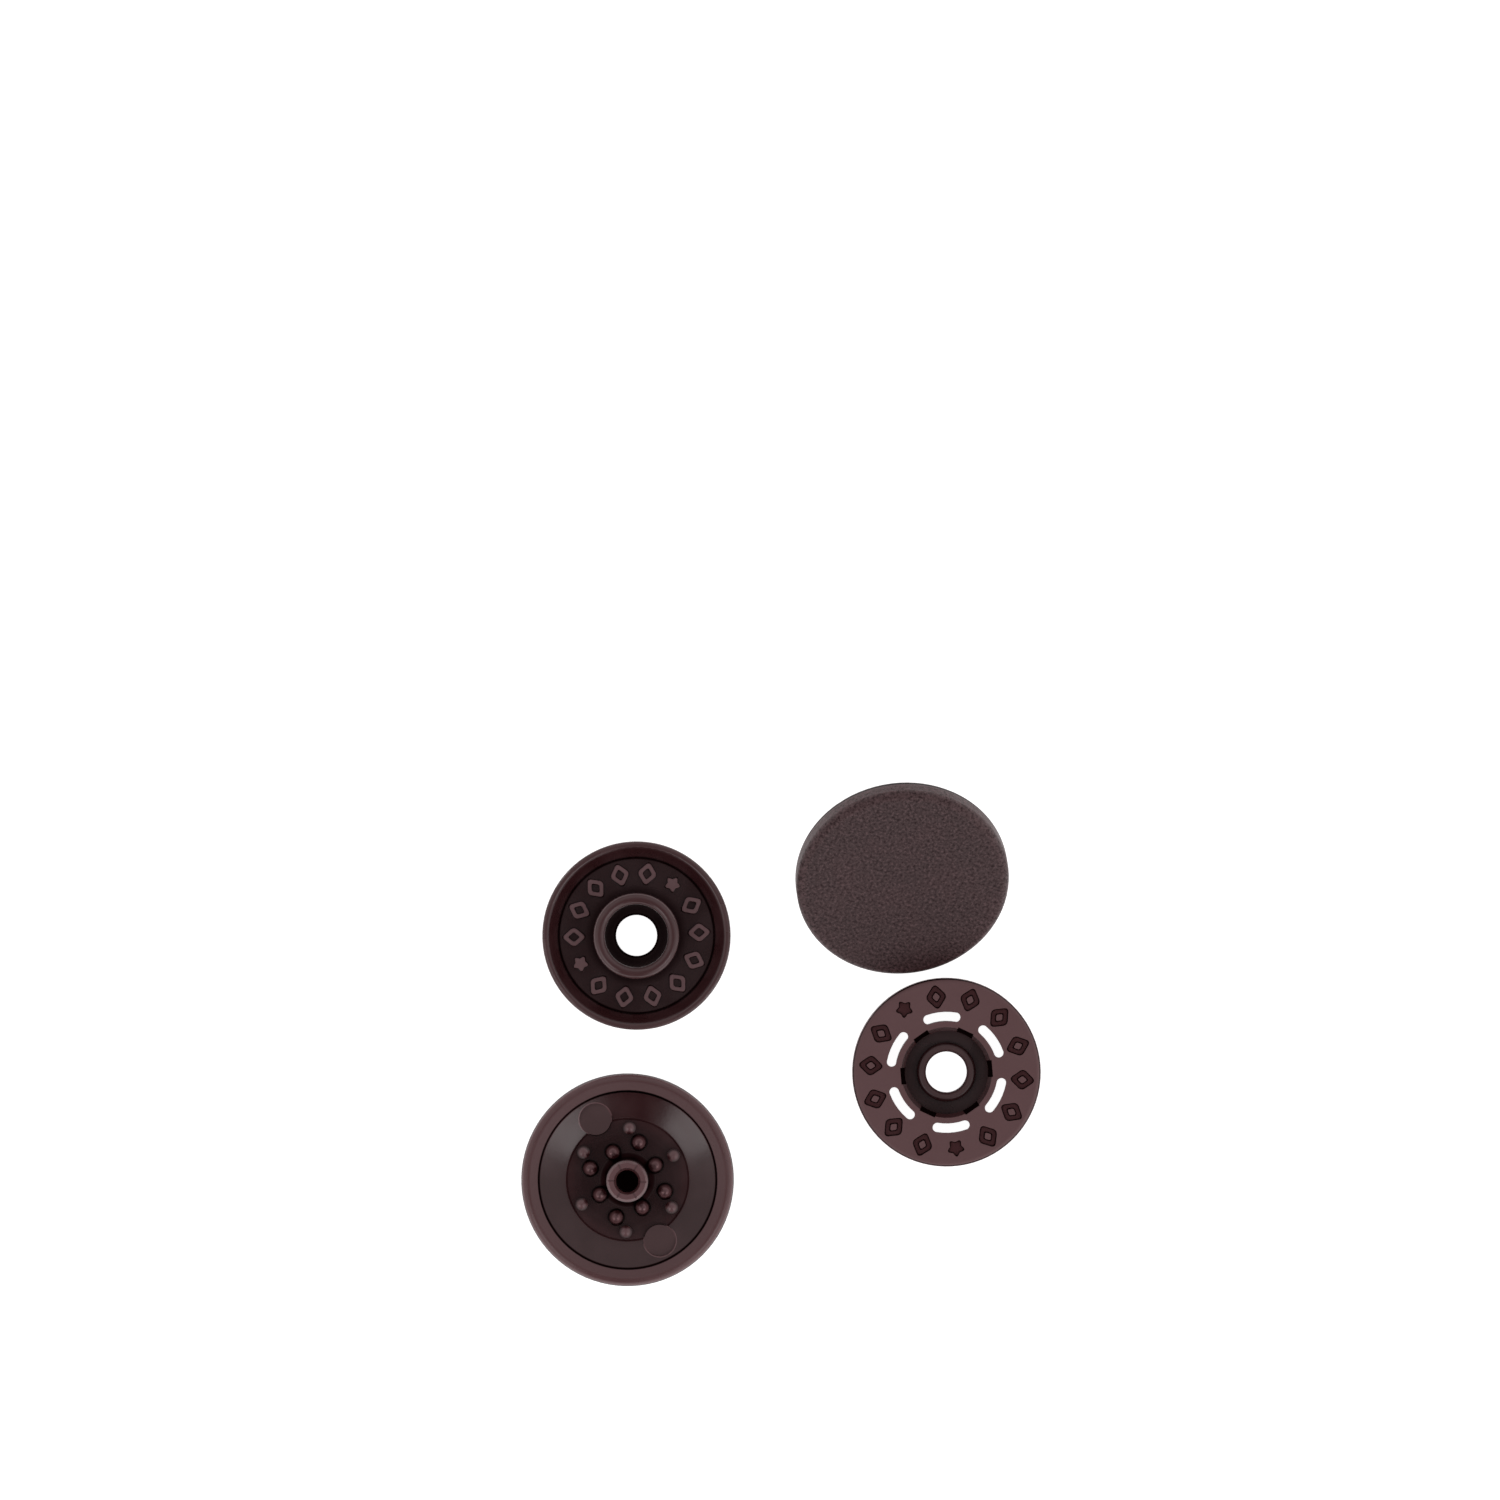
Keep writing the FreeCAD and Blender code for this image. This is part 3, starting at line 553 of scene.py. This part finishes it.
def rounded(shell, corners, offset):
    """Round the corners of a flat outline."""
    bmesh.ops.bevel(shell, geom=corners, offset=offset, segments=3, profile=0.5,
                    affect="VERTICES", material=-1)


def raise_outline(shell, straight, rise, slopes):
    """Give a flat outline straight sides, and above them sloping ones.

    Slopes gives the scale of a corner of the top, from the corner's place in the outline.
    """
    base = top = shell.faces[:]
    for height in (straight, rise):
        raised = bmesh.ops.extrude_face_region(shell, geom=top)["geom"]
        if top is not base:
            bmesh.ops.delete(shell, geom=top, context="FACES")
        top = [item for item in raised if isinstance(item, bmesh.types.BMFace)]
        lifted = [item for item in raised if isinstance(item, bmesh.types.BMVert)]
        bmesh.ops.translate(shell, vec=(0, 0, height), verts=lifted)
    groups = defaultdict(list)
    for vert in lifted:
        groups[slopes(vert.co)].append(vert)
    for scale, verts in groups.items():
        bmesh.ops.scale(shell, vec=(scale, scale, 1), verts=verts)
    bmesh.ops.recalc_face_normals(shell, faces=shell.faces)


def star_mesh(marks, straight, rise):
    """Solid rounded star with five points, one of them along Y."""
    shell = bmesh.new()
    ring = bmesh.ops.create_circle(shell, cap_ends=True, segments=STAR_CORNERS, radius=marks.star)["verts"]
    tips = [vert for vert in ring if is_tip(vert.co)]
    waist = [vert for vert in ring if vert not in tips]
    bmesh.ops.scale(shell, vec=(STAR_WAIST, STAR_WAIST, 1), verts=waist)
    rounded(shell, tips, marks.star * STAR_ROUNDING)
    top = 1 - STAR_TAPER * marks.draft / marks.star
    raise_outline(shell, straight, rise, lambda place: top)
    return shell


def is_tip(place):
    """Whether a corner is a tip of the star: every second one, from the one along Y."""
    steps = (math.atan2(place.y, place.x) - math.pi / 2) / math.radians(360 / STAR_CORNERS)
    return round(steps) % 2 == 0


def lozenge_mesh(marks, straight, rise):
    """Solid rounded lozenge with an open middle, longer along Y."""
    wide, high = marks.width / 2, marks.height / 2
    reach = wide * high / math.hypot(wide, high)
    inner = 1 - marks.line / reach
    shell = bmesh.new()
    bmesh.ops.create_circle(shell, cap_ends=True, segments=4, radius=high)
    bmesh.ops.scale(shell, vec=(wide / high, 1, 1), verts=shell.verts)
    rounded(shell, shell.verts[:], marks.line * LOZENGE_ROUNDING)
    bmesh.ops.inset_individual(shell, faces=shell.faces[:], thickness=0)
    middle = next(face for face in shell.faces if len(face.verts) > 4)
    bmesh.ops.scale(shell, vec=(inner, inner, 1), verts=middle.verts)
    bmesh.ops.delete(shell, geom=[middle], context="FACES_ONLY")

    def slopes(place):
        outside = abs(place.x) / wide + abs(place.y) / high > (1 + inner) / 2
        return 1 - marks.draft / reach if outside else 1 + marks.draft / (reach * inner)

    raise_outline(shell, straight, rise, slopes)
    return shell


def ornament_ring(name, centre, circle, straight, rise, angles):
    """Object with ornaments that stand on their circle round a centre.

    Each angle comes with whether it is a star.  A negative rise turns the ornaments over.
    """
    marks = bpy.context.scene.snap_marks
    mesh = bpy.data.meshes.new(name)
    whole = bmesh.new()
    for angle, is_star in angles:
        make = star_mesh if is_star else lozenge_mesh
        shell = make(marks, straight, abs(rise))
        bmesh.ops.translate(shell, vec=(0, circle, -straight), verts=shell.verts)
        bmesh.ops.scale(shell, vec=(1, 1, math.copysign(1, rise)), verts=shell.verts)
        bmesh.ops.recalc_face_normals(shell, faces=shell.faces)
        turn = Matrix.Rotation(math.radians(angle) - math.pi / 2, 4, "Z")
        bmesh.ops.transform(shell, matrix=Matrix.Translation(centre) @ turn, verts=shell.verts)
        part = bpy.data.meshes.new("ornament")
        shell.to_mesh(part)
        shell.free()
        whole.from_mesh(part)
        bpy.data.meshes.remove(part)
    whole.to_mesh(mesh)
    whole.free()
    piece = bpy.data.objects.new(name, mesh)
    bpy.context.scene.collection.objects.link(piece)
    return piece


def ornament_angles(first_star, second_star, between, after):
    """Angles of a ring's ornaments, each with whether it is a star.

    The lozenges stand evenly spread clockwise, some between the two stars and the others after them.
    """
    angles = [(first_star, True), (second_star, True)]
    sweep = (first_star - second_star) % 360
    angles += [(first_star - sweep * step / (between + 1), False) for step in range(1, between + 1)]
    rest = 360 - sweep
    angles += [(second_star - rest * step / (after + 1), False) for step in range(1, after + 1)]
    return angles


def combined(piece, tool, operation):
    """Join a tool's shape to a piece, or cut it away; the tool is then removed."""
    modifier = piece.modifiers.new("ornaments", "BOOLEAN")
    modifier.operation = operation
    modifier.solver = "EXACT"
    modifier.use_self = True
    modifier.object = tool
    graph = bpy.context.evaluated_depsgraph_get()
    mesh = bpy.data.meshes.new_from_object(piece.evaluated_get(graph))
    old = piece.data
    piece.modifiers.clear()
    piece.data = mesh
    bpy.data.meshes.remove(old)
    bpy.data.objects.remove(tool)
    if not mesh.polygons:
        raise RuntimeError(f"{piece.name} has no faces after its ornaments")


def finish_piece(piece, node, material):
    """Shade a piece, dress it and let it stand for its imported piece."""
    smooth_shading(piece.data)
    modifier = piece.modifiers.new("even_shading", "WEIGHTED_NORMAL")
    modifier.keep_sharp = True
    dress(piece, material)
    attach(piece, BODY)
    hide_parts(node)


def flat_face(node):
    """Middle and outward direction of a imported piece's largest flat face."""
    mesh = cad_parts[node].data
    spread = defaultdict(float)
    middle = defaultdict(Vector)
    for face in mesh.polygons:
        key = tuple(round(part, 4) for part in face.normal)
        spread[key] += face.area
        middle[key] += face.area * face.center
    key = max(spread, key=spread.get)
    return middle[key] / spread[key], Vector(key).normalized()


def cap_turn(node, foot, outward):
    """Turn of a packed cap: its Z goes to the post, and its X to one of the ejector marks."""
    inward = -outward
    aside = Vector()
    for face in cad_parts[node].data.polygons:
        offset = face.center - foot
        level = offset.dot(inward)
        flat = face.normal.dot(inward) >= 0.999
        at_level = abs(level - EJECTOR_LEVEL) <= 0.01 * MM
        if not (flat and at_level):
            continue
        across = offset - level * inward
        if not aside.length or across.dot(aside) > 0:
            aside += face.area * across
    if not aside.length:
        raise RuntimeError(f"{node} has no ejector marks")
    aside.normalize()
    return Matrix((aside, inward.cross(aside), inward)).transposed().to_euler()


def dress_cap(node):
    """Give a packed cap its plastic."""
    foot, outward = flat_face(node)
    zones = shared_group("cap_zones", lambda: zones_group("cap_zones", CAP_ZONES))
    turn = cap_turn(node, foot, outward)
    dress(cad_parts[node], plastic_material(f"{node}_plastic", foot, turn, zones))


# Operators


class SNAP_OT_outer_cap(bpy.types.Operator):
    """Dress the cap that lies face up, leaning on its post"""

    bl_idname = "snap.outer_cap"
    bl_label = "Outer Cap"

    def execute(self, context):
        dress_cap("outer_cap")
        return {"FINISHED"}


class SNAP_OT_inner_cap(bpy.types.Operator):
    """Dress the cap that lies with its post up"""

    bl_idname = "snap.inner_cap"
    bl_label = "Inner Cap"

    def execute(self, context):
        dress_cap("inner_cap")
        return {"FINISHED"}


class SNAP_OT_socket(bpy.types.Operator):
    """Build the socket with its ring of sunk ornaments"""

    bl_idname = "snap.socket"
    bl_label = "Socket"

    def execute(self, context):
        marks = context.scene.snap_marks
        centre = box_centre("socket")
        front = Vector((0, 0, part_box("socket")[1].z))
        piece = merged_copy("socket", "socket_moulding")
        tool = ornament_ring("sunk_ornaments", centre + front, marks.socket_circle,
                             marks.socket_depth, -marks.socket_depth, ornament_angles(**SOCKET_RING))
        combined(piece, tool, "DIFFERENCE")
        zones = zones_group("socket_zones", SOCKET_ZONES)
        material = plastic_material("socket_plastic", centre, (0, 0, 0), zones, bloom=1.25)
        finish_piece(piece, "socket", material)
        return {"FINISHED"}


class SNAP_OT_stud(bpy.types.Operator):
    """Build the stud with its ring of raised ornaments"""

    bl_idname = "snap.stud"
    bl_label = "Stud"

    def execute(self, context):
        marks = context.scene.snap_marks
        centre = box_centre("stud")
        floor = Vector((0, 0, STUD_FLOOR))
        piece = merged_copy("stud", "stud_moulding")
        tool = ornament_ring("raised_ornaments", centre + floor, marks.stud_circle,
                             marks.stud_rise, marks.stud_rise, ornament_angles(**STUD_RING))
        combined(piece, tool, "UNION")
        zones = zones_group("stud_zones", STUD_ZONES)
        material = plastic_material("stud_plastic", centre, (0, 0, 0), zones, bloom=0.72)
        finish_piece(piece, "stud", material)
        return {"FINISHED"}


class SNAP_OT_stage(bpy.types.Operator):
    """Build the table, the room's light, the soft boxes and the camera"""

    bl_idname = "snap.stage"
    bl_label = "Stage"

    def execute(self, context):
        stage = context.scene.snap_stage
        add_floor(stage)
        light_room(stage)
        for name, azimuth in BOX_AZIMUTHS.items():
            add_soft_box(stage, name, azimuth)
        add_camera(stage)
        context.scene.view_settings.view_transform = "Standard"
        return {"FINISHED"}


def add_floor(stage):
    """Plain pale table, a hair under the pieces so that it shares no face with them."""
    mesh = bpy.data.meshes.new("table")
    shell = bmesh.new()
    bmesh.ops.create_grid(shell, x_segments=1, y_segments=1, size=TABLE_HALF)
    bmesh.ops.translate(shell, vec=(0, 0, -TABLE_DROP), verts=shell.verts)
    shell.to_mesh(mesh)
    shell.free()
    floor = bpy.data.objects.new("table", mesh)
    bpy.context.scene.collection.objects.link(floor)
    material = bpy.data.materials.new("pale_table")
    material.use_nodes = True
    shader = material.node_tree.nodes["Principled BSDF"]
    shader.inputs["Base Color"].default_value = (*stage.floor, 1)
    shader.inputs["Roughness"].default_value = 0.9
    shader.inputs["Emission Color"].default_value = (1, 1, 1, 1)
    shader.inputs["Emission Strength"].default_value = stage.floor_light
    mesh.materials.append(material)


def weighed_sum(tree, x, y, across, back):
    """X and Y, each times its own number, added up."""
    return maths(tree, "ADD", maths(tree, "MULTIPLY", x, across), maths(tree, "MULTIPLY", y, back))


def light_room(stage):
    """Light of the room, stronger from low in front, dim straight above and between the soft boxes."""
    world = bpy.data.worlds.new("room")
    world.use_nodes = True
    tree = world.node_tree
    background = tree.nodes["Background"]
    coordinates = tree.nodes.new("ShaderNodeTexCoord")
    parts = tree.nodes.new("ShaderNodeSeparateXYZ")
    tree.links.new(coordinates.outputs["Generated"], parts.inputs[0])
    x, y, z = parts.outputs
    light = ramped(tree, z, *OVERHEAD_RISE, stage.sky, stage.overhead)
    light = maths(tree, "MULTIPLY", light, ramped(tree, z, *ZENITH_RISE, 1.0, stage.zenith))
    slant = maths(tree, "MULTIPLY", weighed_sum(tree, x, y, *SLANT), maths(tree, "SUBTRACT", 1.0, z))
    light = maths(tree, "MULTIPLY", light, maths(tree, "ADD", slant, 1.0))
    ahead = weighed_sum(tree, x, y, math.cos(stage.gap), math.sin(stage.gap))
    facing = maths(tree, "DIVIDE", ahead, distance(tree, x, y, 0.0))
    gap = maths(tree, "MULTIPLY", ramped(tree, facing, *GAP_CLOSENESS),
                ramped(tree, z, *GAP_RISE, 0.0, GAP_LOSS))
    light = maths(tree, "MULTIPLY", light, maths(tree, "SUBTRACT", 1.0, gap))
    set_input(tree, background.inputs["Strength"], light)
    background.inputs["Color"].default_value = (*stage.tint, 1)
    bpy.context.scene.world = world


def add_soft_box(stage, name, azimuth):
    """Square soft box that faces the table's middle."""
    light = bpy.data.lights.new(name, "AREA")
    light.shape = "SQUARE"
    light.size = stage.box_side
    light.energy = stage.box_light * math.pi * stage.box_side ** 2
    light.color = stage.tint
    lamp = bpy.data.objects.new(name, light)
    turn, rise = math.radians(azimuth), math.radians(BOX_ELEVATION)
    away = Vector((math.cos(turn) * math.cos(rise), math.sin(turn) * math.cos(rise), math.sin(rise)))
    lamp.location = away * stage.box_distance
    lamp.rotation_euler = away.to_track_quat("Z", "Y").to_euler()
    bpy.context.scene.collection.objects.link(lamp)


def add_camera(stage):
    """Camera that looks straight down from far above."""
    camera = bpy.data.cameras.new("camera")
    camera.lens = stage.lens
    camera.sensor_width = 36
    camera.clip_start = 0.01
    camera.clip_end = 10
    viewer = bpy.data.objects.new("camera", camera)
    viewer.location = (*stage.camera_place, stage.camera_height)
    bpy.context.scene.collection.objects.link(viewer)
    bpy.context.scene.camera = viewer


OPERATORS = (SNAP_OT_stage, SNAP_OT_outer_cap, SNAP_OT_inner_cap, SNAP_OT_socket, SNAP_OT_stud)
GROUPS = {"snap_plastic": SnapPlastic, "snap_marks": SnapMarks, "snap_stage": SnapStage}


class SNAP_PT_panel(bpy.types.Panel):
    """Steps that dress the snap fastener"""

    bl_idname = "SNAP_PT_panel"
    bl_label = "Snap Fastener"
    bl_space_type = "VIEW_3D"
    bl_region_type = "UI"
    bl_category = "Snap Fastener"

    def draw(self, context):
        for operator in OPERATORS:
            self.layout.operator(operator.bl_idname)
        for name, group in GROUPS.items():
            column = self.layout.column()
            for prop in group.__annotations__:
                column.prop(getattr(context.scene, name), prop)


CLASSES = (*GROUPS.values(), *OPERATORS, SNAP_PT_panel)


def register():
    """Add the classes and their properties to Blender."""
    for item in CLASSES:
        bpy.utils.register_class(item)
    for name, group in GROUPS.items():
        setattr(bpy.types.Scene, name, bpy.props.PointerProperty(type=group))


def unregister():
    """Take the properties and the classes away again."""
    for name in GROUPS:
        delattr(bpy.types.Scene, name)
    for item in reversed(CLASSES):
        bpy.utils.unregister_class(item)


def main():
    """Run the steps in order."""
    register()
    for operator in OPERATORS:
        space, name = operator.bl_idname.split(".")
        getattr(getattr(bpy.ops, space), name)()


if __name__ == "__main__":
    main()
